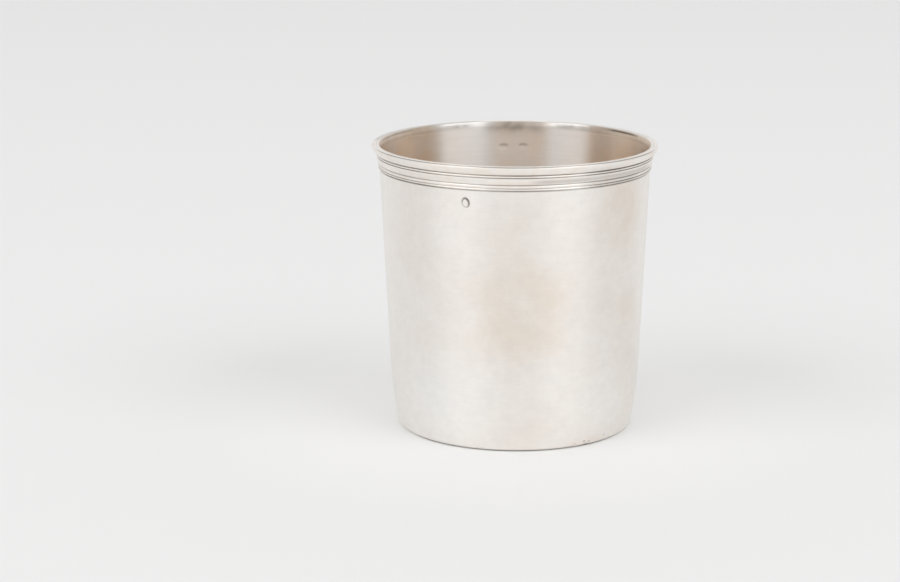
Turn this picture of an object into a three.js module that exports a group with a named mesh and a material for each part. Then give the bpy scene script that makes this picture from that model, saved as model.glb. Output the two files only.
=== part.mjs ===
// A silver beaker: a cup raised from one sheet, with drawn wires soldered round its mouth.
// Millimetres, +Z up. The origin is on the axis, on the surface that the beaker stands on.
import * as THREE from "three";

// Driving dimensions of the raised body.
const HEIGHT = 76; // from the standing face to the rim
const WALL_TOP_RADIUS = 36.24; // outer face of the straight wall, carried up to the rim
const WALL_FOOT_RADIUS = 32.72; // the same line, carried down to the standing face
const SHEET = 0.6; // thickness of the raised sheet
const MOUTH_FLARE = 0.12; // how far the mouth turns out behind the lip
const RIM_ROUND = 0.45; // rounding of the rim's inner edge
const DRAW_IN_HEIGHT = 18; // below this the wall leaves its straight taper and curves in
const DRAW_IN_RADIUS = 150; // curve of the wall there, in side view
const CORNER_RADIUS = 1; // edge between wall and base, measured outside
const STANDING_WIDTH = 5; // flat ring that the beaker stands on
const BASE_RISE = 0.8; // how far the middle of the base is pushed up

// Driving dimensions of the wires. Heights run down the wall and thicknesses stand out from it.
const SOLDER_GAP = 0.05; // between a wire and its neighbours
const LIP_HEIGHT = 2.28;
const LIP_RIM_THICKNESS = 1.59;
const LIP_FOOT_THICKNESS = 0.72;
const LIP_BULGE = 0.14; // how far the lip's face swells past a straight slope
const LIP_ROUND = 0.5; // rounding of its upper edge
const FILLET_HEIGHT = 0.69;
const FILLET_THICKNESS = 0.74;
const FILLET_CROWN = 0.3; // how far its round face stands out past its edges
const BAND_HEIGHT = 1.8;
const BAND_TOP_THICKNESS = 0.56;
const BAND_FOOT_THICKNESS = 0.34;
const UPPER_REED_HEIGHT = 0.88;
const LOWER_REED_HEIGHT = 0.63;
const REED_THICKNESS = 0.28;
const REED_CROWN = 0.17; // how far each reed stands out past the groove beside it

// Facets.
const SEGMENTS = 64; // round the axis
const BASE_STEPS = 4;
const CORNER_STEPS = 5;
const DRAW_IN_STEPS = 4;
const FLARE_STEPS = 3;
const ROUND_STEPS = 4;
const FACE_STEPS = 4;

const SILVER = { color: 0xe6e1d8, roughness: 0.3, metalness: 1 };

const taper = (WALL_TOP_RADIUS - WALL_FOOT_RADIUS) / HEIGHT;
const lean = Math.atan(taper);

// The wires hang in a row below the rim.
const lipFoot = HEIGHT - LIP_HEIGHT;
const filletTop = lipFoot - SOLDER_GAP;
const filletFoot = filletTop - FILLET_HEIGHT;
const bandTop = filletFoot - SOLDER_GAP;
const bandFoot = bandTop - BAND_HEIGHT;
const reedTop = bandFoot - SOLDER_GAP;
const reedGroove = reedTop - UPPER_REED_HEIGHT;
const reedFoot = reedGroove - LOWER_REED_HEIGHT;

// Outlines are lists of radius and height.
function point(radius, height) {
  return new THREE.Vector2(radius, height);
}

// Part of a circle about a centre, from one angle to another.
function arc(centre, radius, from, to, steps) {
  return Array.from({ length: steps + 1 }, (_, i) => {
    const angle = THREE.MathUtils.lerp(from, to, i / steps);
    return point(Math.cos(angle), Math.sin(angle)).multiplyScalar(radius).add(centre);
  });
}

// A face that swells by a given depth to the right of the straight way from one point to another.
function swelling(from, to, depth) {
  const way = to.clone().sub(from);
  const side = point(way.y, -way.x).normalize();
  const control = from.clone().lerp(to, 0.5).addScaledVector(side, 2 * depth);
  return new THREE.QuadraticBezierCurve(from, control, to).getPoints(FACE_STEPS);
}

// Outer radius of the wall, which turns out over the height of the lip.
function wallRadius(height) {
  const turn = Math.max(0, (height - lipFoot) / LIP_HEIGHT);
  return WALL_FOOT_RADIUS + taper * height + MOUTH_FLARE * turn ** 2;
}

// The turned-out part of the mouth, upwards, moved out from the wall's outer face.
function mouth(out, top) {
  return Array.from({ length: FLARE_STEPS + 1 }, (_, i) => {
    const height = THREE.MathUtils.lerp(lipFoot, top, i / FLARE_STEPS);
    return point(wallRadius(height) + out, height);
  });
}

// A point at a height, standing out from the seat that the wires are soldered to.
function seat(height, out = 0) {
  return point(wallRadius(height) + SOLDER_GAP + out, height);
}

// The curved foot of the wall and the rounded edge below it are arcs that meet without a corner.
const drawInStart = point(wallRadius(DRAW_IN_HEIGHT), DRAW_IN_HEIGHT);
const drawInCentre = drawInStart
  .clone()
  .sub(point(Math.cos(-lean), Math.sin(-lean)).multiplyScalar(DRAW_IN_RADIUS));
const cornerDrop = CORNER_RADIUS - drawInCentre.y;
const cornerReach = Math.sqrt((DRAW_IN_RADIUS - CORNER_RADIUS) ** 2 - cornerDrop ** 2);
const cornerCentre = point(drawInCentre.x + cornerReach, CORNER_RADIUS);
const meetingAngle = Math.atan2(cornerDrop, cornerReach);
const standingInner = cornerCentre.x - STANDING_WIDTH;

// One face of the sheet, from the middle of the base to the rim: the outer face, or one set in from it.
function sheetFace(inset, top) {
  const middle = point(0, BASE_RISE + inset);
  const shoulder = point(standingInner / 2, BASE_RISE + inset);
  const ringEdge = point(standingInner, inset);
  return [
    ...new THREE.QuadraticBezierCurve(middle, shoulder, ringEdge).getPoints(BASE_STEPS),
    ...arc(cornerCentre, CORNER_RADIUS - inset, -Math.PI / 2, meetingAngle, CORNER_STEPS),
    ...arc(drawInCentre, DRAW_IN_RADIUS - inset, meetingAngle, -lean, DRAW_IN_STEPS).slice(1),
    ...mouth(-inset / Math.cos(lean), top),
  ];
}

function bodyOutline() {
  const rimInner = wallRadius(HEIGHT) - SHEET / Math.cos(lean);
  const roundCentre = point(rimInner + RIM_ROUND, HEIGHT - RIM_ROUND);
  return [
    ...sheetFace(0, HEIGHT),
    ...arc(roundCentre, RIM_ROUND, Math.PI / 2, Math.PI, ROUND_STEPS),
    ...sheetFace(SHEET, HEIGHT - RIM_ROUND).reverse().slice(1),
  ];
}

function lipSection() {
  const edge = seat(HEIGHT, LIP_RIM_THICKNESS);
  const roundCentre = point(edge.x - LIP_ROUND, edge.y - LIP_ROUND);
  const faceTop = point(edge.x, roundCentre.y);
  return [
    ...swelling(seat(lipFoot, LIP_FOOT_THICKNESS), faceTop, LIP_BULGE),
    ...arc(roundCentre, LIP_ROUND, 0, Math.PI / 2, ROUND_STEPS).slice(1),
    ...mouth(SOLDER_GAP, HEIGHT).reverse(),
  ];
}

function filletSection() {
  const edge = FILLET_THICKNESS - FILLET_CROWN;
  return [
    ...swelling(seat(filletFoot, edge), seat(filletTop, edge), FILLET_CROWN),
    seat(filletTop),
    seat(filletFoot),
  ];
}

function bandSection() {
  return [
    seat(bandFoot, BAND_FOOT_THICKNESS),
    seat(bandTop, BAND_TOP_THICKNESS),
    seat(bandTop),
    seat(bandFoot),
  ];
}

function reedSection() {
  const groove = REED_THICKNESS - REED_CROWN;
  return [
    ...swelling(seat(reedFoot, groove), seat(reedGroove, groove), REED_CROWN),
    ...swelling(seat(reedGroove, groove), seat(reedTop, groove), REED_CROWN).slice(1),
    seat(reedTop),
    seat(reedFoot),
  ];
}

// A piece turned about the axis, its outline running up the outside.
function turned(name, outline) {
  const geometry = new THREE.LatheGeometry(outline, SEGMENTS).rotateX(Math.PI / 2);
  const mesh = new THREE.Mesh(geometry, new THREE.MeshStandardMaterial(SILVER));
  mesh.name = name;
  return mesh;
}

// A ring, whose section closes on itself.
function wire(name, section) {
  return turned(name, [...section, section[0].clone()]);
}

const beaker = new THREE.Group();
beaker.add(
  turned("raised_body", bodyOutline()),
  wire("lip_wire", lipSection()),
  wire("upper_fillet", filletSection()),
  wire("flat_band", bandSection()),
  wire("double_reed", reedSection()),
);

export default beaker;
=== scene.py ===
"""Looks of the silver beaker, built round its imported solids.

Sizes are in millimetres, and places round the girth in degrees to the right of the front, unless a
comment says otherwise. A pair of limits says where something sets in and where it is full.
"""

import math

import bmesh
import bpy
import numpy as np
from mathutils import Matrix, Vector, noise


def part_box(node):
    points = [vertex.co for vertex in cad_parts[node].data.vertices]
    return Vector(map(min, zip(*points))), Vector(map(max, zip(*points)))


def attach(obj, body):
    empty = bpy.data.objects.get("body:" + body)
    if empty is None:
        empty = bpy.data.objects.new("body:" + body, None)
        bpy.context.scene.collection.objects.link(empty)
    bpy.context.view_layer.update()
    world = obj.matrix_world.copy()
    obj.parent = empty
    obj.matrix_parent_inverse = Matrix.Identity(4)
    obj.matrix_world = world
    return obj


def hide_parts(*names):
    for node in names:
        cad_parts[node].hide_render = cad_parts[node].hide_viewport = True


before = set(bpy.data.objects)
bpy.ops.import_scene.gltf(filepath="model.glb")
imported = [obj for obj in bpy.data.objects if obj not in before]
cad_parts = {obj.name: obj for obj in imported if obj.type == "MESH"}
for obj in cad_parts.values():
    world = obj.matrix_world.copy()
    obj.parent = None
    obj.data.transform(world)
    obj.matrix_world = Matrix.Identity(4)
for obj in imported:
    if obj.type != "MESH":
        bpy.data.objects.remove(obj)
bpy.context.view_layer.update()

MM = 0.001  # one millimetre in metres
FRONT = 0
BACK = 180


def span(node):
    """Lowest height, highest height and outer radius of a CAD node."""
    low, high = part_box(node)
    return low.z / MM, high.z / MM, high.x / MM


# Heights and radii from the frame.
_, RIM_HEIGHT, _ = span("raised_body")
LIP_FOOT, _, LIP_RADIUS = span("lip_wire")
FILLET_FOOT, FILLET_TOP, FILLET_RADIUS = span("upper_fillet")
BAND_FOOT, BAND_TOP, BAND_RADIUS = span("flat_band")
REED_FOOT, REED_TOP, REED_RADIUS = span("double_reed")

# The raised body.
WALL_TOP_RADIUS = 36.24  # outer face of the straight wall, carried up to the rim
WALL_FOOT_RADIUS = 32.72  # the same line, carried down to the standing face
SHEET = 0.6
MOUTH_FLARE = 0.62  # how far the mouth turns out
MOUTH_FLARE_FOOT = 74.3
RIM_EDGE = 0.16  # rounding of the rim's inner edge
DRAW_IN_HEIGHT = 18.0  # below this the wall leaves its straight taper and curves in
DRAW_IN_RADIUS = 150.0
CORNER_RADIUS = 1.0  # edge between wall and base, measured outside
STANDING_WIDTH = 5.0
BASE_RISE = 0.8
TAPER = (WALL_TOP_RADIUS - WALL_FOOT_RADIUS) / RIM_HEIGHT
LEAN = math.atan(TAPER)

# The wires.
SEAM = 0.05  # gap between a wire and the wall
RIM_SEAM = 0.005  # the same at the rim's top
LIP_FOOT_THICKNESS = 0.72
LIP_BULGE = 0.14
LIP_SHOULDER = 0.5
FILLET_CROWN = 0.3
BAND_FOOT_THICKNESS = 0.34
BAND_EDGE = 0.14
UPPER_REED_HEIGHT = 0.88
REED_CROWN = 0.17
LOWER_REED_INSET = 0.03  # how far the lower reed lies behind the upper one
REED_GROOVE = REED_TOP - UPPER_REED_HEIGHT

# Wear and unevenness of hand work.
FOOT_WEAR = 0.38  # how far the foot is worn in at the standing face
FOOT_WEAR_TOP = 14.0
OVAL = ((0.03, 2, 0.7), (0.02, 3, 2.1))  # waves of the rim: size, count, phase in radians
OVAL_INSET = 0.05  # keeps the waves inside the true girth
AXIS_SET_OVER = 0.33  # how far the foot stands to the right of the rim
PLANISHING = 0.022
PLANISHING_SIZES = ((9.0, 1.0), (4.5, 0.5))  # size of the lumps, and their share
PLANISHING_LIMITS = (1.5, 7.5)  # below the rim
WIRE_LUMPS = 0.012
WIRE_LUMP_SIZE = 1.9
EVEN_RADIUS = 10  # the base grows even from here to the axis
CREASE_TURN = 44  # degrees from the back, on both sides
CREASE_REACH = 15
CREASE_HEIGHT = 73.7
CREASE_RELIEF = 0.045
CREASE_WIDTH = 0.15
CREASE_WAVE = 0.3
CREASE_WAVE_SIZE = 9.0

# The punch mark, a plain oval. Places and reaches of its line and its burr are shares of its half sizes.
MARK_TURN = -21.8
MARK_HEIGHT = 66.1
MARK_HALF_WIDTH = 1.05
MARK_HALF_HEIGHT = 1.3
MARK_TILT = 15  # degrees to the right
MARK_CENTRE = 0.1  # inside this the mark's sides grow alike
MARK_DEEP_SIDE = (0.83, 0.55)  # which way the punch went deeper, along and up
MARK_LINE = 0.86
MARK_LINE_REACH = (0.1, 0.28)  # at the shallow side and at the deep one
MARK_LINE_STRENGTH = (0.48, 1.0)
MARK_DEPTH = 0.13
MARK_DEPTH_SLOPE = 0.08  # added at the top, taken off at the foot
MARK_FIELD_DEPTH = 0.05
MARK_FIELD_EDGE = 0.04
MARK_BURR = 1.25
MARK_BURR_REACH = 0.12
MARK_BURR_HEIGHT = 0.03
# Painted shade in the punch's line, darkest on its deep side.
MARK_SHADE = 0.95
MARK_BULGE = 0.06  # on the inside, behind the mark
MARK_BULGE_SPREAD = 1.6  # square millimetres

# Two small dents inside, at the back: turn and height. Sizes of the crescents of painted shade over them
# are shares of the reach.
BACK_DENTS = ((183.5, 69.0), (174.6, 69.1))
DENT_REACH = (1.25, 0.85)  # along the girth and up
DENT_DEPTH = 0.085
CRESCENT_RISE = 0.55
CRESCENT_BEND = 0.25
CRESCENT_REACH = 0.42
# Painted shade in a crescent over each dent.
CRESCENT_SHADE = 0.38

# Pits near the foot: turn, height, reach along the girth, strength.
PITS = (
    (34.4, 1.32, 0.36, 0.75),
    (37.4, 1.1, 0.5, 0.45),
    (35.7, 0.5, 0.45, 0.6),
    (47.2, 1.85, 0.4, 0.4),
    (29.1, 1.05, 0.45, 0.3),
)
PIT_REACH_UP = 0.2
PIT_DEPTH = 0.08
PIT_DIRT = 0.8

# Facets round the girth, with finer steps at the mark, the pits and the dents: middle, reach, step.
FIRST_TURN = -90
TURN_STEP = 1.0
FINE_TURNS = ((MARK_TURN, 3, 0.09), (39, 10.5, 0.2), (180.5, 9, 0.25))

# Facets along the body's outline, which are finer at relief and dirt.
BASE_STEPS = 12
STANDING_STEPS = 3
OUTER_CORNER_STEPS = 24
INNER_CORNER_STEPS = 12
PITS_TOP = 3.2  # above all the pits
PITS_STEPS = 27
DRAW_IN_STEPS = 18
OUTER_WALL_STEPS = 57
MARK_ROWS = (64.2, 68.0)
MARK_ROW_STEP = 0.06
ABOVE_MARK_STEPS = 4
REED_FOOT_ROWS = 0.3  # to either side of the reed's foot
REED_FOOT_STEPS = 8
BELOW_REED_ROWS = 0.4  # from the reed's foot to the next row below
BEHIND_WIRES_ROWS = 0.5  # from the reed's foot to the next row above
BEHIND_WIRES_STEPS = 15
RIM_STEPS = 12
RIM_INNER_ROWS = 2  # rows of the rim's edge that have the finish of the inside
INNER_WALL_STEPS = 65
DENT_ROWS = (66.0, 71.5)
DENT_STEPS = 39
ABOVE_DENTS_STEPS = 7
MOUTH_ROWS = 73.8  # from here to the rim
MOUTH_STEPS = 39

# Facets along the outlines of the wires.
LIP_FACE_STEPS = 16
LIP_SHOULDER_STEPS = 24
LIP_TOP_STEPS = 15
LIP_BACK_STEPS = 19
ROUND_FACE_STEPS = 14
BAND_FACE_STEPS = 13
BAND_EDGE_STEPS = 6

# Dirt in the seams, with painted shade: height of the seam, strength, reach up and down, how much thicker
# at the left.
SEAM_DROP = 0.02  # from a wire's foot to the middle of the dirt below it
SEAM_DIRT_AND_SHADE = (
    (LIP_FOOT - SEAM_DROP, 0.78, 0.27, -0.25),
    (FILLET_FOOT - SEAM_DROP, 0.66, 0.22, 0.0),
    (BAND_FOOT - SEAM_DROP, 0.5, 0.3, -0.15),
    (REED_GROOVE, 0.72, 0.2, -0.1),
    (REED_FOOT, 1.0, 0.34, 0.15),
)
SEAM_DIRT_AND_SHADE_SHARE = (0.9, 1.3)  # at the front or back, and at the sides, where more shade is painted
SEAM_HIGHLIGHTS = ((-23, 13, 0.45), (23, 9, 0.45))  # where painted highlights thin it: turn, reach, share
SEAM_PATCHES = 0.18
SEAM_PATCH_SIZE = 3.5
# A painted contact shadow along the foot's lowest edge, at the front only.
FOOT_SHADOW = 0.7
FOOT_SHADOW_ENDS = (62, 32)  # degrees from the front
FOOT_SHADOW_HEIGHTS = (0.5, 0.15)

# Painted shade and reflections inside the mouth, and darkening in the corner between the wall and the base.
# A dark reflection painted at the back of the mouth.
BACK_DARK_REFLECTION_TURN = 178
BACK_DARK_REFLECTION_WIDTH = 14
BACK_DARK_REFLECTION_HEIGHT = 74.7
BACK_DARK_REFLECTION_REACH = (1.7, 1.9)  # below and above
BACK_DARK_REFLECTION = 0.34
BACK_DARK_REFLECTION_CORE = 0.2
BACK_DARK_REFLECTION_CORE_WIDTH = 5
# Painted shade on the mouth's flare at the sides.
MOUTH_SHADE = 0.16
MOUTH_SHADE_SIDES = (30, 38)  # degrees from the back
MOUTH_SHADE_HEIGHTS = (73.9, 74.4)
SIDE_SHADES = ((151, 10), (206, 8))  # painted shade over the flare's glints beside the back: turn and reach
SIDE_SHADE = 0.45
SIDE_SHADE_HEIGHT = 75.1
SIDE_SHADE_REACH = (0.75, 0.5)  # below and above
# Darker in the inner corner between the wall and the base.
CORNER_DARKENING = 0.3
CORNER_DARKENING_HEIGHT = 0.8
CORNER_DARKENING_REACH = 0.5
CORNER_DARKENING_RADII = (29, 31)
MOUTH_PATCHES = (0.95, 0.5)  # middle and size
MOUTH_PATCH_SIZE = 1.8
MOUTH_PATCH_MOST = 1.4
INNER_REFLECTION_LINES = ((122, 11, 0.8), (246, 15, 0.42))  # painted dark reflections along the rim's inner edge: turn, reach, strength
INNER_REFLECTION_LINE_HEIGHT = 75.48
INNER_REFLECTION_LINE_REACH = 0.24
INNER_DARK_STRIPES = (  # darker stripes down the inside: turn, reach, strength
    (161, 8, 0.14), (149, 7, 0.1), (137, 8, 0.11), (196, 7, 0.08), (207, 6, 0.1), (226, 9, 0.1),
)

# The fine line along the lip's shoulder: its radius and height, and the dark reflection painted in it.
RIM_LINE = (37.8, 75.88)
RIM_LINE_REACH = 0.26
RIM_LINE_DEPTH = 0.03
RIM_LINE_DARK_REFLECTION = 0.78
RIM_LINE_ENDS = (78, 62)  # degrees from the front
RIM_LINE_HIGHLIGHTS = (20, 7, 0.4)  # where painted highlights thin it: degrees from the front, reach, share

# Grey tarnish and painted shade on the wires and on the rim: first and last turn, middle and reach of its
# heights, strength.
TARNISH_AND_SHADE = (
    (3, 73, 71.92, 0.52, 0.3),
    (-62, -12, 71.95, 0.55, 0.07),
    (24, 50, 73.8, 1.3, 0.11),
    (24, 62, 70.3, 1.0, 0.16),
    (-70, -40, 74.9, 0.6, 0.06),
    (192, 268, 76.0, 0.2, 0.29),
    (98, 165, 76.0, 0.2, 0.14),
)
TARNISH_AND_SHADE_ENDS = 7  # it fades over this at both ends

# Warm film on the wall, cleared where the strength is negative: turn, height, reach along the girth and up,
# strength.
FILM = (
    (3, 38.5, 10.5, 9.5, 0.66),
    (2, 40, 20, 15, 0.25),
    (-5, 27, 8, 6, 0.2),
    (6, 6, 13, 5, 0.08),
    (-2, 62, 8, 12, 0.2),
    (51, 62, 8, 10, 0.82),
    (54, 36, 6, 6, 0.46),
    (62, 20, 6, 12, 0.24),
    (-42, 28, 9, 6, 0.1),
    (40, 1.5, 6, 2.5, 0.25),
    (-55, 58, 9, 11, 0.12),
    # These two clear the film to paint in light reflected at the lower left and right.
    (-40, 12, 15, 15, -0.32),
    (46, 9, 8, 11, -0.25),
    (-53, 76, 14, 2, 0.7),
    (50, 76, 16, 2, 0.7),
    (112, 44, 14, 15, 0.3),
    (146, 20, 12, 10, 0.4),
    (141, 60, 11, 9, -0.25),
    (176, 50, 15, 12, 0.5),
    (190, 14, 13, 9, -0.3),
    (216, 32, 11, 14, 0.45),
    (243, 58, 12, 11, 0.35),
    (250, 12, 14, 10, -0.25),
)
FILM_EVERYWHERE = 0.345

# Warm film inside the mouth with painted brown shade: thick at the sides, thinner at the back, nearly gone
# at the front. Even lower down.
INNER_FILM_SHADE_SIDES = (31, 43)  # degrees from the back
INNER_FILM_SHADE_FRONT = (105, 135)  # degrees from the back
INNER_FILM_SHADE_FRONT_LOSS = 0.95
INNER_FILM_SHADE_BACK = (176, 13, 0.58)  # turn, reach, strength
INNER_FILM_SHADE_HEIGHTS = (30, 60)
INNER_FILM_SHADE_LOW = 0.4

# Film on the wires, with a stain on the front of the band.
WIRE_FILM = (0.5, 0.4)  # middle and size
WIRE_FILM_SIZE = 1.7
BAND_STAIN_TURN = 1
BAND_STAIN_WIDTH = 12
BAND_STAIN_HEIGHT = 71.5
BAND_STAIN_REACH = 0.55
BAND_STAIN = 0.6

# The three finishes of the silver. Roughness is its least and its most, and brushing is anisotropy.
CLEAN_SILVER = (0.988, 0.97, 0.944, 1)
FINISHES = {
    "silver_outside": {
        "clean": CLEAN_SILVER, "filmed_and_shaded": (0.912, 0.833, 0.752, 1),
        "roughness": (0.32, 0.4), "brushing": 0.85, "mottling": 0.068, "streaking": 0.022,
    },
    "silver_inside": {
        # Inside, the filmed colour also paints brown shade.
        "clean": (1.0, 0.977, 0.95, 1), "filmed_and_shaded": (0.98, 0.795, 0.63, 1),
        "roughness": (0.32, 0.42), "brushing": 1.0, "mottling": 0.03, "streaking": 0.045,
    },
    "silver_wire": {
        "clean": CLEAN_SILVER, "filmed_and_shaded": (0.94, 0.86, 0.778, 1),
        "roughness": (0.4, 0.5), "brushing": 0.6, "mottling": 0.03, "streaking": 0.02,
    },
}
# The colour of dirt, and of painted shade, shadows and dark reflections.
DIRT_AND_SHADE_COLOUR = (0.14, 0.115, 0.09, 1)
BRUSHING_TURN = 0.25  # of a full turn, so that the lines run round the girth
NOISE_SPAN = (0.3, 0.7)  # what a noise texture mostly keeps to
CLOUD_NOISE = {"Scale": 110.0, "Detail": 6.0}
CLOUD_SHARE = (0.68, 1.2)  # of the film
GRAIN_NOISE = {"Scale": 330.0, "Detail": 5.0, "Roughness": 0.78}
LINE_NOISE = {"Scale": 80.0, "Detail": 3.0}
LINE_STRETCH = (1, 1, 25)
LINE_SPAN = (0.35, 0.65)
LINE_BUMP = {"Strength": 0.1, "Distance": 0.00003}  # distance in metres

# The camera, where the photograph's was.
CAMERA_PLACE = (-17.16, -628.8, 181.65)
CAMERA_PITCH = 13.08  # degrees down
LENS = 96.0
SENSOR = 36.0
CLIP = (0.01, 50.0)  # metres

# The studio, in metres and degrees. The room is lighter before and behind the beaker than beside it.
FLOOR_RADIUS = 3.0
FLOOR_STEP = 4  # between the floor's corners
FLOOR_SPAN = (0.045, 0.1)  # distances from the axis between which the floor's colour changes; the paler floor near the beaker is painted light reflected from the silver
FLOOR_NEAR_LIT = (0.895, 0.895, 0.891, 1)
FLOOR_FAR = (0.858, 0.858, 0.856, 1)
FLOOR_ROUGHNESS = 0.7
FLOOR_SPECULAR = 0.2
ROOM_FRONT = 1.035
ROOM_SIDES = 0.567
ROOM_BACK = 0.945
SOFTBOX_AWAY = 3.0
SOFTBOX_SIZE = (2.0, 1.55)
SOFTBOX_RISE = 40  # above the floor
SOFTBOX_TURNS = {"left_softbox": -55, "right_softbox": 51}
SOFTBOX_RADIANCE = 1.72

# Limits for welding, in metres.
WELD = 1e-6  # points closer than this become one
SLIVER = 1e-7  # edges shorter than this are dissolved

# Places of the colour sockets on a Mix node.
MIX_FIRST = 6
MIX_SECOND = 7
MIX_RESULT = 2


# Helpers for values that vary along an outline or over the surface.
def steps(start, end, count):
    """Values or points from start to end in even steps."""
    return np.linspace(start, end, count + 1)


def ramp(value, start, end):
    """0 at the start and before it, 1 at the end and past it, straight between them."""
    return np.clip((value - start) / (end - start), 0, 1)


def spot(value, middle, reach, power=2):
    """1 at the middle, falling off over the reach. A higher power has a flatter top."""
    return np.exp(-(((value - middle) / reach) ** power))


def between(low, high, share):
    """The value at a share of the way from low to high."""
    return low + (high - low) * share


def degrees_from(turn, place):
    """Degrees from a place on the girth, to either side."""
    return np.abs((turn - place + 180) % 360 - 180)


def along_girth(turn, radius, place):
    """Distance from a place along the girth, to the right of it."""
    return np.radians((turn - place + 180) % 360 - 180) * radius


def on_girth(turn, radius, height):
    """Points at turns, radii and heights."""
    angle = np.radians(turn)
    return np.column_stack((radius * np.sin(angle), -radius * np.cos(angle), height))


def noise_at(places, size):
    """Smooth noise from about -1 to 1, with lumps of the given size."""
    return np.array([noise.noise(Vector(place) / size) for place in places])


# Outlines are arrays of radius and height.
def wall_radius(height):
    """Outer radius of the wall, which turns out at the mouth."""
    turn = np.maximum(0, (height - MOUTH_FLARE_FOOT) / (RIM_HEIGHT - MOUTH_FLARE_FOOT))
    return WALL_FOOT_RADIUS + TAPER * height + MOUTH_FLARE * turn**2


def arc(centre, radius, start, end, count):
    angle = steps(start, end, count)
    return np.column_stack((centre[0] + radius * np.cos(angle), centre[1] + radius * np.sin(angle)))


def curve(start, control, end, count):
    """A quadratic curve between two points."""
    t = steps(0, 1, count)[:, None]
    return (1 - t) ** 2 * np.array(start) + 2 * t * (1 - t) * np.array(control) + t**2 * np.array(end)


def swelling(start, end, depth, count):
    """A face that swells to the right of the straight way from start to end."""
    start, end = np.array(start), np.array(end)
    way = end - start
    side = np.array((way[1], -way[0])) / np.hypot(*way)
    return curve(start, (start + end) / 2 + 2 * depth * side, end, count)


def rounded(before, corner, after, reach, count):
    """The corner of an outline, cut by a curve of the given reach."""
    before, corner, after = np.array(before), np.array(corner), np.array(after)
    start = corner + (before - corner) / np.hypot(*(before - corner)) * reach
    end = corner + (after - corner) / np.hypot(*(after - corner)) * reach
    return curve(start, corner, end, count)


# The curved foot of the wall and the edge below it are arcs that meet without a corner.
DRAW_IN_CENTRE = (
    wall_radius(DRAW_IN_HEIGHT) - DRAW_IN_RADIUS * math.cos(LEAN),
    DRAW_IN_HEIGHT + DRAW_IN_RADIUS * math.sin(LEAN),
)
CORNER_DROP = CORNER_RADIUS - DRAW_IN_CENTRE[1]
CORNER_REACH = math.sqrt((DRAW_IN_RADIUS - CORNER_RADIUS) ** 2 - CORNER_DROP**2)
CORNER_CENTRE = (DRAW_IN_CENTRE[0] + CORNER_REACH, CORNER_RADIUS)
MEETING_ANGLE = math.atan2(CORNER_DROP, CORNER_REACH)
STANDING_INNER = CORNER_CENTRE[0] - STANDING_WIDTH


def sheet_face(inset, heights, corner_steps):
    """One face of the sheet from the middle of the base to the rim, set in from the outer face."""
    middle = (0, BASE_RISE + inset)
    shoulder = (STANDING_INNER / 2, BASE_RISE + inset)
    ring = steps(STANDING_INNER, CORNER_CENTRE[0], STANDING_STEPS)[1:-1]
    foot = DRAW_IN_CENTRE[1] + (DRAW_IN_RADIUS - inset) * math.sin(MEETING_ANGLE)
    top = DRAW_IN_CENTRE[1] - (DRAW_IN_RADIUS - inset) * math.sin(LEAN)
    drawn = np.concatenate((steps(foot, PITS_TOP, PITS_STEPS), steps(PITS_TOP, top, DRAW_IN_STEPS)[1:]))
    reach = np.sqrt((DRAW_IN_RADIUS - inset) ** 2 - (drawn - DRAW_IN_CENTRE[1]) ** 2)
    return np.vstack((
        curve(middle, shoulder, (STANDING_INNER, inset), BASE_STEPS),
        np.column_stack((ring, np.full(len(ring), inset))),
        arc(CORNER_CENTRE, CORNER_RADIUS - inset, -math.pi / 2, MEETING_ANGLE, corner_steps),
        np.column_stack((DRAW_IN_CENTRE[0] + reach, drawn))[1:],
        np.column_stack((wall_radius(heights) - inset / math.cos(LEAN), heights)),
    ))


def body_outline():
    """The sheet's outline from under the base, up the outside, over the rim and down the inside.

    Also gives for each row whether it shows on the outside.
    """
    edge = RIM_HEIGHT - RIM_EDGE
    outer_heights = np.concatenate((
        steps(DRAW_IN_HEIGHT, MARK_ROWS[0], OUTER_WALL_STEPS)[1:-1],
        np.arange(*MARK_ROWS, MARK_ROW_STEP),
        steps(MARK_ROWS[1], REED_FOOT - BELOW_REED_ROWS, ABOVE_MARK_STEPS),
        steps(REED_FOOT - REED_FOOT_ROWS, REED_FOOT + REED_FOOT_ROWS, REED_FOOT_STEPS),
        steps(REED_FOOT + BEHIND_WIRES_ROWS, RIM_HEIGHT, BEHIND_WIRES_STEPS),
    ))
    inner_heights = np.concatenate((
        steps(DRAW_IN_HEIGHT, DENT_ROWS[0], INNER_WALL_STEPS)[1:-1],
        steps(*DENT_ROWS, DENT_STEPS)[:-1],
        steps(DENT_ROWS[1], MOUTH_ROWS, ABOVE_DENTS_STEPS)[:-1],
        steps(MOUTH_ROWS, edge, MOUTH_STEPS)[:-1],
    ))
    outer = sheet_face(0, outer_heights, OUTER_CORNER_STEPS)
    inner = sheet_face(SHEET, inner_heights, INNER_CORNER_STEPS)[::-1]
    mouth, below = wall_radius(np.array((RIM_HEIGHT, edge))) - SHEET / math.cos(LEAN)
    rim = curve((mouth + RIM_EDGE, RIM_HEIGHT), (mouth, RIM_HEIGHT), (below, edge), RIM_STEPS)
    outline = np.vstack((outer, rim, inner))
    return outline, np.arange(len(outline)) < len(outer) + len(rim) - RIM_INNER_ROWS


def seat(height, out=0.0):
    """A point at a height, standing out from the wall that the wires are soldered to."""
    return (wall_radius(height) + SEAM + out, height)


def half_round(foot, top, radius, crown):
    """The round face of a wire."""
    out = radius - wall_radius((foot + top) / 2) - SEAM - crown
    return swelling(seat(foot, out), seat(top, out), crown, ROUND_FACE_STEPS)


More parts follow.
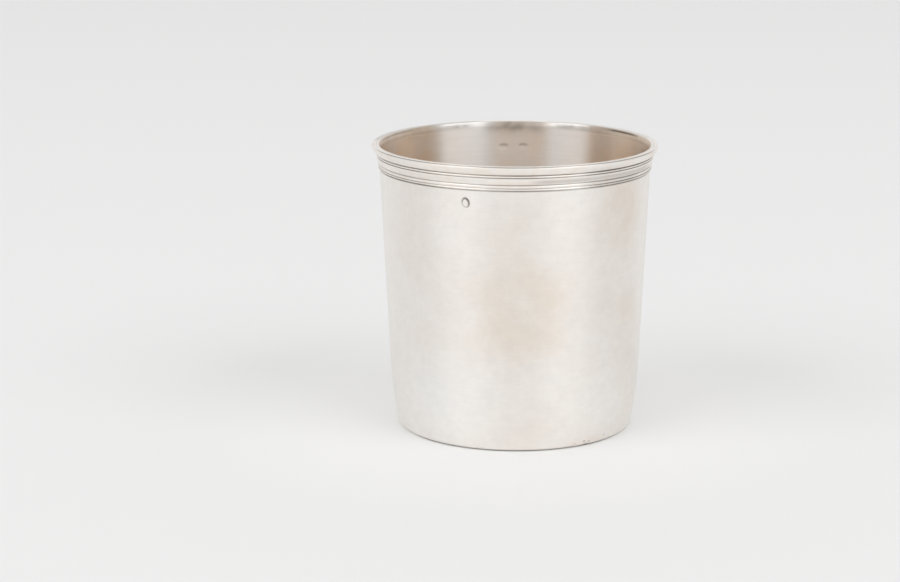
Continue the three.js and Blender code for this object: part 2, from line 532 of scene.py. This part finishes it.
def lip_outline():
    """The lip's section, with a fine worn groove along its shoulder."""
    foot = seat(LIP_FOOT, LIP_FOOT_THICKNESS)
    shoulder = (LIP_RADIUS - LIP_SHOULDER, RIM_HEIGHT - LIP_SHOULDER)
    section = np.vstack((
        swelling(foot, (LIP_RADIUS, shoulder[1]), LIP_BULGE, LIP_FACE_STEPS),
        arc(shoulder, LIP_SHOULDER, 0, math.pi / 2, LIP_SHOULDER_STEPS)[1:],
        steps((shoulder[0], RIM_HEIGHT), seat(RIM_HEIGHT, RIM_SEAM - SEAM), LIP_TOP_STEPS)[1:],
        [seat(height) for height in steps(RIM_HEIGHT, LIP_FOOT, LIP_BACK_STEPS)[1:]],
    ))
    away = np.hypot(*(section - RIM_LINE).T)
    section[:, 1] -= RIM_LINE_DEPTH * ramp(away, RIM_LINE_REACH, 0)
    return section


def fillet_outline():
    return np.vstack((
        half_round(FILLET_FOOT, FILLET_TOP, FILLET_RADIUS, FILLET_CROWN),
        [seat(FILLET_TOP), seat(FILLET_FOOT)],
    ))


def band_outline():
    foot, top = seat(BAND_FOOT, BAND_FOOT_THICKNESS), (BAND_RADIUS, BAND_TOP)
    foot_edge = rounded(seat(BAND_FOOT), foot, top, BAND_EDGE, BAND_EDGE_STEPS)
    top_edge = rounded(foot, top, seat(BAND_TOP), BAND_EDGE, BAND_EDGE_STEPS)
    face = steps(foot_edge[-1], top_edge[0], BAND_FACE_STEPS)[1:-1]
    return np.vstack((foot_edge, face, top_edge, [seat(BAND_TOP), seat(BAND_FOOT)]))


def reed_outline():
    return np.vstack((
        half_round(REED_FOOT, REED_GROOVE, REED_RADIUS - LOWER_REED_INSET, REED_CROWN),
        half_round(REED_GROOVE, REED_TOP, REED_RADIUS, REED_CROWN)[1:],
        [seat(REED_TOP), seat(REED_FOOT)],
    ))


# Relief of the surface.
def unevenness(turn, height, places):
    """How far hand work leaves the surface from true, outwards."""
    angle = np.radians(turn)
    high = height / RIM_HEIGHT
    oval = sum(size * np.cos(count * angle + phase) for size, count, phase in OVAL) - OVAL_INSET
    set_over = AXIS_SET_OVER * np.sin(angle) * (1 - high)
    worn = FOOT_WEAR * ramp(height, FOOT_WEAR_TOP, 0) ** 2
    planished = sum(share * noise_at(places, size) for size, share in PLANISHING_SIZES)
    planished = PLANISHING * planished * ramp(RIM_HEIGHT - height, *PLANISHING_LIMITS)
    return oval * high + set_over - worn + planished


def crease(turn, height, places):
    """How far a fine wavy ridge stands out inside the mouth, on both sides."""
    wave = CREASE_WAVE * noise_at(places * (1, 1, 0), CREASE_WAVE_SIZE)
    side = spot(degrees_from(turn, BACK), CREASE_TURN, CREASE_REACH)
    return CREASE_RELIEF * side * spot(height, CREASE_HEIGHT + wave, CREASE_WIDTH)


def punch_mark(turn, radius, height):
    """Depth and painted shade of a plain oval punch, tilted and struck deeper at its upper right."""
    along, up = along_girth(turn, radius, MARK_TURN), height - MARK_HEIGHT
    tilt = math.radians(MARK_TILT)
    x = (along * math.cos(tilt) + up * math.sin(tilt)) / MARK_HALF_WIDTH
    z = (up * math.cos(tilt) - along * math.sin(tilt)) / MARK_HALF_HEIGHT
    out = np.hypot(x, z)
    x, z = (x, z) / np.maximum(out, MARK_CENTRE)
    deep = (1 + MARK_DEEP_SIDE[0] * x + MARK_DEEP_SIDE[1] * z) / 2
    line = spot(out, MARK_LINE, between(*MARK_LINE_REACH, deep)) * between(*MARK_LINE_STRENGTH, deep)
    field = MARK_FIELD_DEPTH * (1 - np.tanh((out - MARK_LINE) / MARK_FIELD_EDGE / 2)) / 2
    burr = MARK_BURR_HEIGHT * deep * spot(out, MARK_BURR, MARK_BURR_REACH)
    return (MARK_DEPTH + MARK_DEPTH_SLOPE * z) * line + field - burr, MARK_SHADE * line


def foot_pits(turn, radius, height):
    """Depth and dirt of the pits near the foot."""
    pits = sum(
        strength * spot(along_girth(turn, radius, place), 0, reach) * spot(height, middle, PIT_REACH_UP)
        for place, middle, reach, strength in PITS
    )
    return PIT_DEPTH * pits, PIT_DIRT * pits


def back_dents(turn, radius, height):
    """Depth of the dents in the inside, and a crescent of painted shade over each of them."""
    depth, darkening = 0, 0
    for place, middle in BACK_DENTS:
        across = along_girth(turn, radius, place) / DENT_REACH[0]
        up = (height - middle) / DENT_REACH[1]
        depth = depth + DENT_DEPTH * spot(np.hypot(across, up), 0, 1, power=3)
        crescent = spot(up, CRESCENT_RISE - CRESCENT_BEND * across**2, CRESCENT_REACH)
        darkening = darkening + CRESCENT_SHADE * crescent * spot(across, 0, 1, power=4)
    return depth, darkening


def mark_bulge(turn, radius, height):
    """How far the inside stands out behind the mark."""
    away = along_girth(turn, radius, MARK_TURN) ** 2 + (height - MARK_HEIGHT) ** 2
    return MARK_BULGE * np.exp(-away / MARK_BULGE_SPREAD)


# Dirt, painted shade and painted reflections, from 0 for clean metal to 1.
def seam_dirt_and_shade(turn, height, places):
    """Dirt and painted shade in the seams, thick at the sides and thinned where painted highlights fall,
    and a painted contact shadow round the front of the foot.
    """
    across = np.sin(np.radians(turn))
    darkening = sum(
        strength * (1 - left * across) * ramp(np.abs(height - seam), reach, 0)
        for seam, strength, reach, left in SEAM_DIRT_AND_SHADE
    )
    # A painted contact shadow round the front of the foot.
    foot = ramp(degrees_from(turn, FRONT), *FOOT_SHADOW_ENDS) * ramp(height, *FOOT_SHADOW_HEIGHTS)
    # Lighter where painted highlights fall.
    highlit = sum(share * spot(turn, place, reach) for place, reach, share in SEAM_HIGHLIGHTS)
    patches = SEAM_PATCHES * noise_at(places, SEAM_PATCH_SIZE)
    return (darkening + FOOT_SHADOW * foot) * (between(*SEAM_DIRT_AND_SHADE_SHARE, across**2) - highlit + patches)


def lip_line(turn, radius, height):
    """A painted dark reflection in the fine line along the lip's shoulder, gone at the back and thinned
    where painted highlights fall.
    """
    away = np.hypot(radius - RIM_LINE[0], height - RIM_LINE[1])
    side = degrees_from(turn, FRONT)
    place, reach, share = RIM_LINE_HIGHLIGHTS
    left = ramp(side, *RIM_LINE_ENDS) * (1 - share * spot(side, place, reach))
    return RIM_LINE_DARK_REFLECTION * left * ramp(away, RIM_LINE_REACH, 0)


def tarnish_and_shade(turn, height):
    """Broad grey tarnish with painted shade on the moulding and on the rim's top."""
    return sum(
        strength * ramp(turn, first, first + TARNISH_AND_SHADE_ENDS) * ramp(turn, last, last - TARNISH_AND_SHADE_ENDS)
        * spot(height, middle, reach, power=4)
        for first, last, middle, reach, strength in TARNISH_AND_SHADE
    )


def back_dark_reflection(turn, height):
    """The dark reflection painted at the back of the mouth, darkest in its middle."""
    broad = BACK_DARK_REFLECTION * spot(turn, BACK_DARK_REFLECTION_TURN, BACK_DARK_REFLECTION_WIDTH, power=6)
    core = BACK_DARK_REFLECTION_CORE * spot(degrees_from(turn, BACK), 0, BACK_DARK_REFLECTION_CORE_WIDTH)
    reach = np.where(height < BACK_DARK_REFLECTION_HEIGHT, *BACK_DARK_REFLECTION_REACH)
    return (broad + core) * spot(height, BACK_DARK_REFLECTION_HEIGHT, reach)


def inside_darkening(turn, radius, height, places):
    """Darkening inside: a painted dark reflection at the back and painted shade on the flare, in patches,
    painted dark reflections below the rim, darker stripes, and a darker corner below.
    """
    sides = ramp(degrees_from(turn, BACK), *MOUTH_SHADE_SIDES) * ramp(height, *MOUTH_SHADE_HEIGHTS)
    beside = sum(spot(turn, place, reach, power=4) for place, reach in SIDE_SHADES)
    reach_up = np.where(height < SIDE_SHADE_HEIGHT, *SIDE_SHADE_REACH)
    beside = beside * spot(height, SIDE_SHADE_HEIGHT, reach_up)
    corner = spot(height, CORNER_DARKENING_HEIGHT, CORNER_DARKENING_REACH) * ramp(radius, *CORNER_DARKENING_RADII)
    dark_areas = back_dark_reflection(turn, height) + MOUTH_SHADE * sides + SIDE_SHADE * beside + CORNER_DARKENING * corner
    patches = MOUTH_PATCHES[0] + MOUTH_PATCHES[1] * noise_at(places, MOUTH_PATCH_SIZE)
    lines = sum(strength * spot(turn, place, reach, power=4) for place, reach, strength in INNER_REFLECTION_LINES)
    lines = lines * spot(height, INNER_REFLECTION_LINE_HEIGHT, INNER_REFLECTION_LINE_REACH)
    stripes = sum(strength * spot(turn, place, reach) for place, reach, strength in INNER_DARK_STRIPES)
    return dark_areas * np.clip(patches, 0, MOUTH_PATCH_MOST) + lines + stripes


# Film, with painted brown shade inside, from 0 for clean metal to 1.
def wall_film(turn, radius, height):
    """Warm film in broad patches on the outside of the wall, cleared low at the left and right to paint in
    reflected light.
    """
    return FILM_EVERYWHERE + sum(
        strength * spot(along_girth(turn, radius, place), 0, along) * spot(height, middle, up)
        for place, middle, along, up, strength in FILM
    )


def inside_film_and_shade(turn, height):
    """Warm film with painted brown shade inside the mouth, even further down."""
    from_back = degrees_from(turn, BACK)
    sides = ramp(from_back, *INNER_FILM_SHADE_SIDES)
    sides = sides * sides * (3 - 2 * sides)
    front = 1 - INNER_FILM_SHADE_FRONT_LOSS * ramp(from_back, *INNER_FILM_SHADE_FRONT)
    place, reach, strength = INNER_FILM_SHADE_BACK
    mouth = np.maximum(front * sides, strength * spot(turn, place, reach, power=6))
    return between(INNER_FILM_SHADE_LOW, mouth, ramp(height, *INNER_FILM_SHADE_HEIGHTS))


def wire_film(turn, height, places):
    """Film on the wires, uneven on a small scale."""
    uneven = WIRE_FILM[0] + WIRE_FILM[1] * noise_at(places, WIRE_FILM_SIZE)
    along = spot(turn, BAND_STAIN_TURN, BAND_STAIN_WIDTH, power=4)
    return uneven + BAND_STAIN * along * spot(height, BAND_STAIN_HEIGHT, BAND_STAIN_REACH)


# Surfaces: how far a piece's points lie out from true, their dirt and painted shade, and their film.
def body_surface(turn, radius, height, places, outer):
    mark_depth, mark_shade = punch_mark(turn, radius, height)
    pit_depth, pit_dirt = foot_pits(turn, radius, height)
    dent_depth, dent_shade = back_dents(turn, radius, height)
    ridges = mark_bulge(turn, radius, height) + crease(turn, height, places)
    push = np.where(outer, -(mark_depth + pit_depth), dent_depth - ridges)
    # Grey tarnish and painted shade on the rim's top.
    rim = np.where(height > RIM_HEIGHT - RIM_EDGE, tarnish_and_shade(turn, height), 0)
    outer_dirt_and_shade = seam_dirt_and_shade(turn, height, places) + lip_line(turn, radius, height) + rim
    inner_darkening = inside_darkening(turn, radius, height, places)
    darkening = np.where(outer, outer_dirt_and_shade + mark_shade + pit_dirt, inner_darkening + dent_shade)
    return push, darkening, np.where(outer, wall_film(turn, radius, height), inside_film_and_shade(turn, height))


def wire_surface(turn, radius, height, places):
    darkening = seam_dirt_and_shade(turn, height, places) + lip_line(turn, radius, height) + tarnish_and_shade(turn, height)
    return WIRE_LUMPS * noise_at(places, WIRE_LUMP_SIZE), darkening, wire_film(turn, height, places)


def turn_steps():
    """Turns once round the girth, closer together at the mark, the pits and the dents."""
    coarse = np.arange(FIRST_TURN, FIRST_TURN + 360, TURN_STEP)
    keep = np.all([np.abs(coarse - middle) > reach for middle, reach, _ in FINE_TURNS], axis=0)
    fine = [np.arange(middle - reach, middle + reach, step) for middle, reach, step in FINE_TURNS]
    return np.sort(np.concatenate([coarse[keep], *fine]))


def lathe(name, outline, outside=None):
    """A piece turned from an outline.

    For the body, outside tells for each row whether it shows on the outside. A wire has none, and its
    outline closes on itself.
    """
    turns = turn_steps()
    rows, cols = len(outline), len(turns)
    radius, height = np.repeat(outline, cols, axis=0).T
    turn = np.tile(turns, rows)
    places = on_girth(turn, radius, height)
    if outside is None:
        strips, inner_strips = rows, np.zeros(rows, bool)
        push, darkening, film_and_shade = wire_surface(turn, radius, height, places)
    else:
        strips, inner_strips = rows - 1, ~outside[:-1]
        push, darkening, film_and_shade = body_surface(turn, radius, height, places, np.repeat(outside, cols))
    push = push + unevenness(turn, height, places) * ramp(radius, 0, EVEN_RADIUS)
    points = on_girth(turn, radius + push, height) * MM
    row, col = np.meshgrid(np.arange(strips), np.arange(cols), indexing="ij")
    next_row, next_col = (row + 1) % rows, (col + 1) % cols
    corners = ((row, col), (row, next_col), (next_row, next_col), (next_row, col))
    quads = np.stack([r * cols + c for r, c in corners], -1).reshape(-1, 4)
    mesh = bpy.data.meshes.new(name)
    mesh.from_pydata(points.tolist(), [], quads.tolist())
    for key, values in (("dirt_and_shade", darkening), ("film_and_shade", film_and_shade)):
        layer = mesh.attributes.new(key, "FLOAT", "POINT")
        layer.data.foreach_set("value", np.clip(values, 0, 1).astype(np.float32))
    mesh.polygons.foreach_set("material_index", np.repeat(inner_strips, cols).astype(np.int32))
    mesh.shade_smooth()
    piece = bpy.data.objects.new(name, mesh)
    bpy.context.scene.collection.objects.link(piece)
    return piece


def weld_axis(piece):
    """Joins the rows that lie on the axis to one point each."""
    work = bmesh.new()
    work.from_mesh(piece.data)
    bmesh.ops.remove_doubles(work, verts=work.verts, dist=WELD)
    bmesh.ops.dissolve_degenerate(work, edges=work.edges, dist=SLIVER)
    work.to_mesh(piece.data)
    work.free()
    piece.data.shade_smooth()


# Helpers for shader nodes.
def add(tree, kind, inputs=None, **settings):
    """A new node with its settings, and its inputs linked or set."""
    made = tree.nodes.new(kind)
    for key, value in settings.items():
        setattr(made, key, value)
    for key, value in (inputs or {}).items():
        socket = made.inputs[key]
        if isinstance(value, bpy.types.NodeSocket):
            tree.links.new(value, socket)
        else:
            socket.default_value = value
    return made


def blend(tree, share, first, second, kind="MIX"):
    """The colour that a share of the second makes of the first."""
    inputs = {"Factor": share, MIX_FIRST: first, MIX_SECOND: second}
    return add(tree, "ShaderNodeMix", inputs, data_type="RGBA", blend_type=kind).outputs[MIX_RESULT]


def remap(tree, value, span_from, span_to, **settings):
    """A value carried from one span to another, and kept inside it."""
    inputs = {"Value": value}
    inputs["From Min"], inputs["From Max"] = span_from
    inputs["To Min"], inputs["To Max"] = span_to
    return add(tree, "ShaderNodeMapRange", inputs, **settings).outputs["Result"]


def noise_texture(tree, place, values):
    return add(tree, "ShaderNodeTexNoise", {"Vector": place, **values}).outputs["Fac"]


def attribute(tree, name):
    return add(tree, "ShaderNodeAttribute", attribute_name=name).outputs["Fac"]


def silver(name, clean, filmed_and_shaded, roughness, brushing, mottling, streaking):
    """Old hand-finished silver: lines round the girth, mottling, a warm film that inside also paints brown
    shade, and dark dirt with painted shade and reflections.
    """
    material = bpy.data.materials.new(name)
    material.use_nodes = True
    tree = material.node_tree
    shader = tree.nodes["Principled BSDF"]
    place = add(tree, "ShaderNodeTexCoord").outputs["Object"]
    grain = noise_texture(tree, place, GRAIN_NOISE)
    stretched = add(tree, "ShaderNodeMapping", {"Vector": place, "Scale": LINE_STRETCH}).outputs["Vector"]
    lines = noise_texture(tree, stretched, LINE_NOISE)

    cloud = remap(tree, noise_texture(tree, place, CLOUD_NOISE), NOISE_SPAN, CLOUD_SHARE)
    film_and_shade = {0: attribute(tree, "film_and_shade"), 1: cloud}
    film_and_shade = add(tree, "ShaderNodeMath", film_and_shade, operation="MULTIPLY", use_clamp=True).outputs["Value"]
    colour = blend(tree, film_and_shade, clean, filmed_and_shaded)
    for texture, depth in ((grain, mottling), (lines, streaking)):
        colour = blend(tree, 1.0, colour, remap(tree, texture, NOISE_SPAN, (1 - depth, 1.0)), "MULTIPLY")
    # Dirt and painted shade darken the colour.
    colour = blend(tree, attribute(tree, "dirt_and_shade"), colour, DIRT_AND_SHADE_COLOUR)
    tree.links.new(colour, shader.inputs["Base Color"])

    tree.links.new(remap(tree, lines, LINE_SPAN, roughness), shader.inputs["Roughness"])
    bump = add(tree, "ShaderNodeBump", {"Height": lines, **LINE_BUMP})
    tree.links.new(bump.outputs["Normal"], shader.inputs["Normal"])
    tangent = add(tree, "ShaderNodeTangent", direction_type="RADIAL", axis="Z")
    tree.links.new(tangent.outputs["Tangent"], shader.inputs["Tangent"])
    shader.inputs["Metallic"].default_value = 1.0
    shader.inputs["Anisotropic"].default_value = brushing
    shader.inputs["Anisotropic Rotation"].default_value = BRUSHING_TURN
    return material


def make_pieces():
    outside, inside, wire = [silver(name, **finish) for name, finish in FINISHES.items()]
    body = lathe("silver_body", *body_outline())
    weld_axis(body)
    body.data.materials.append(outside)
    body.data.materials.append(inside)
    pieces = [(body, "raised_body")]
    for name, node, section in (
        ("silver_lip", "lip_wire", lip_outline()),
        ("silver_fillet", "upper_fillet", fillet_outline()),
        ("silver_band", "flat_band", band_outline()),
        ("silver_reeds", "double_reed", reed_outline()),
    ):
        ring = lathe(name, section)
        ring.data.materials.append(wire)
        pieces.append((ring, node))
    for piece, node in pieces:
        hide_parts(node)
        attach(piece, "root")


# The studio.
def make_camera():
    data = bpy.data.cameras.new("camera")
    data.lens = LENS
    data.sensor_width = SENSOR
    data.clip_start, data.clip_end = CLIP
    camera = bpy.data.objects.new("camera", data)
    camera.location = Vector(CAMERA_PLACE) * MM
    camera.rotation_euler = (math.radians(90 - CAMERA_PITCH), 0, 0)
    bpy.context.scene.collection.objects.link(camera)
    bpy.context.scene.camera = camera


def way_to(turn, rise):
    """Unit vector towards a place, by degrees to the right of the front and above the floor."""
    turn, rise = math.radians(turn), math.radians(rise)
    return Vector((math.sin(turn) * math.cos(rise), -math.cos(turn) * math.cos(rise), math.sin(rise)))


def make_floor():
    mesh = bpy.data.meshes.new("floor")
    ring = [tuple(way_to(turn, 0) * FLOOR_RADIUS) for turn in range(0, 360, FLOOR_STEP)]
    mesh.from_pydata(ring, [], [list(range(len(ring)))])
    floor = bpy.data.objects.new("floor", mesh)
    bpy.context.scene.collection.objects.link(floor)
    material = bpy.data.materials.new("pale_floor")
    material.use_nodes = True
    tree = material.node_tree
    shader = tree.nodes["Principled BSDF"]
    place = add(tree, "ShaderNodeTexCoord").outputs["Object"]
    away = add(tree, "ShaderNodeVectorMath", {0: place}, operation="LENGTH").outputs["Value"]
    away = remap(tree, away, FLOOR_SPAN, (0, 1), interpolation_type="SMOOTHSTEP")
    tree.links.new(blend(tree, away, FLOOR_NEAR_LIT, FLOOR_FAR), shader.inputs["Base Color"])
    shader.inputs["Roughness"].default_value = FLOOR_ROUGHNESS
    shader.inputs["Specular IOR Level"].default_value = FLOOR_SPECULAR
    mesh.materials.append(material)


def make_world():
    """A pale room whose light changes from the front over the sides to the back."""
    world = bpy.data.worlds.new("studio")
    bpy.context.scene.world = world
    world.use_nodes = True
    tree = world.node_tree
    way = add(tree, "ShaderNodeTexCoord").outputs["Generated"]
    depth = add(tree, "ShaderNodeSeparateXYZ", {"Vector": way}).outputs["Y"]
    shades = add(tree, "ShaderNodeValToRGB", {"Fac": remap(tree, depth, (-1, 1), (0, 1))})
    shades.color_ramp.interpolation = "B_SPLINE"
    shades.color_ramp.elements.new(0.5)  # the sides, half way to the back
    for stop, shade in zip(shades.color_ramp.elements, (ROOM_FRONT, ROOM_SIDES, ROOM_BACK)):
        stop.color = (*[shade / ROOM_FRONT] * 3, 1)
    background = tree.nodes["Background"]
    tree.links.new(shades.outputs["Color"], background.inputs["Color"])
    background.inputs["Strength"].default_value = ROOM_FRONT


def make_softboxes():
    width, height = SOFTBOX_SIZE
    for name, turn in SOFTBOX_TURNS.items():
        light = bpy.data.lights.new(name, "AREA")
        light.shape = "RECTANGLE"
        light.size, light.size_y = width, height
        light.energy = SOFTBOX_RADIANCE * math.pi * width * height
        lamp = bpy.data.objects.new(name, light)
        way = way_to(turn, SOFTBOX_RISE)
        lamp.location = way * SOFTBOX_AWAY
        lamp.rotation_mode = "QUATERNION"
        lamp.rotation_quaternion = way.to_track_quat("Z", "Y")
        bpy.context.scene.collection.objects.link(lamp)


make_camera()
make_floor()
make_world()
make_softboxes()
make_pieces()
bpy.context.scene.view_settings.view_transform = "Standard"
